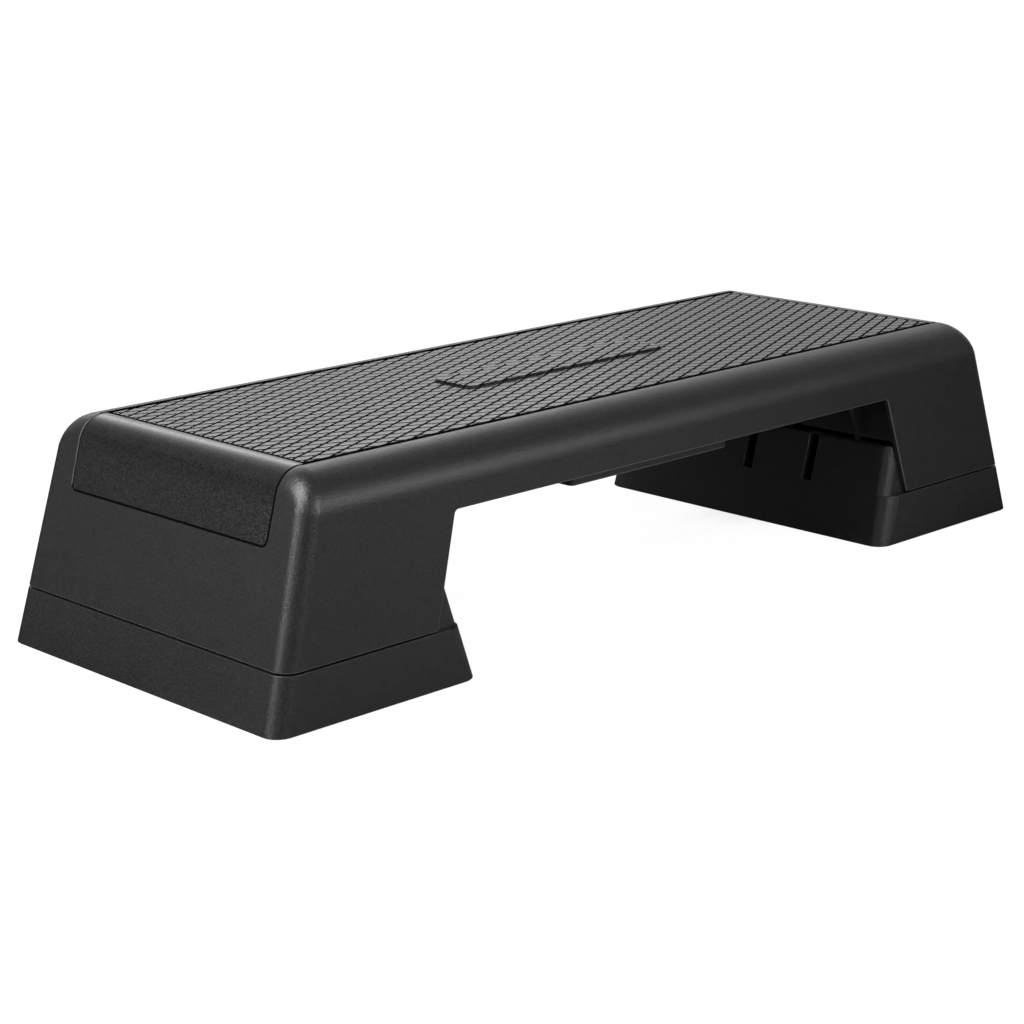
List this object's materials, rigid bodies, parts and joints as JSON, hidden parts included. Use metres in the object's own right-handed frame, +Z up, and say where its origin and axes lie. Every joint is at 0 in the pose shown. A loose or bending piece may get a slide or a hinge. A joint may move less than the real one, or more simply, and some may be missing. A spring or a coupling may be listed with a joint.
{
  "type": "aerobic step platform",
  "caption": "Low black exercise step: a hollow bridge-shaped deck with a tiled rubber tread and grained end pads, raised on removable slotted feet.",
  "frame": {"origin": "middle of the footprint, on the floor", "axes": "+X along the length, +Y towards the back, +Z up from the floor to the tread"},
  "size_m": [0.9798, 0.37, 0.2025],
  "materials": {
    "deck_plastic": "matte black moulding with a fine sparked texture",
    "foot_plastic": "matte black moulding with a fine sparked texture",
    "brace_plastic": "plain matte black moulding",
    "tread_rubber": "matte black rubber moulded in small rhombic tiles",
    "end_pad_rubber": "matte black rubber with a coarse pebble grain",
    "foot_rubber": "plain matte black rubber",
    "screw_steel": "zinc plated"
  },
  "bodies": {
    "platform": {"deck_shell": "deck_plastic", "tread_mat": "tread_rubber", "left_end_pad": "end_pad_rubber", "right_end_pad": "end_pad_rubber", "centre_brace": "brace_plastic", "brace_screws": "screw_steel"},
    "left_riser": {"left_foot": "foot_plastic", "left_foot_pad_front_outer": "foot_rubber", "left_foot_pad_front_inner": "foot_rubber", "left_foot_pad_back_outer": "foot_rubber", "left_foot_pad_back_inner": "foot_rubber"},
    "right_riser": {"right_foot": "foot_plastic", "right_foot_pad_front_outer": "foot_rubber", "right_foot_pad_front_inner": "foot_rubber", "right_foot_pad_back_outer": "foot_rubber", "right_foot_pad_back_inner": "foot_rubber"}
  },
  "joints": [
    {"name": "left_foot_pull", "type": "slide", "parent": "platform", "child": "left_riser", "axis": [0, 0, -1], "range_m": [0, 0.06]},
    {"name": "right_foot_pull", "type": "slide", "parent": "platform", "child": "right_riser", "axis": [0, 0, -1], "range_m": [0, 0.06]}
  ]
}
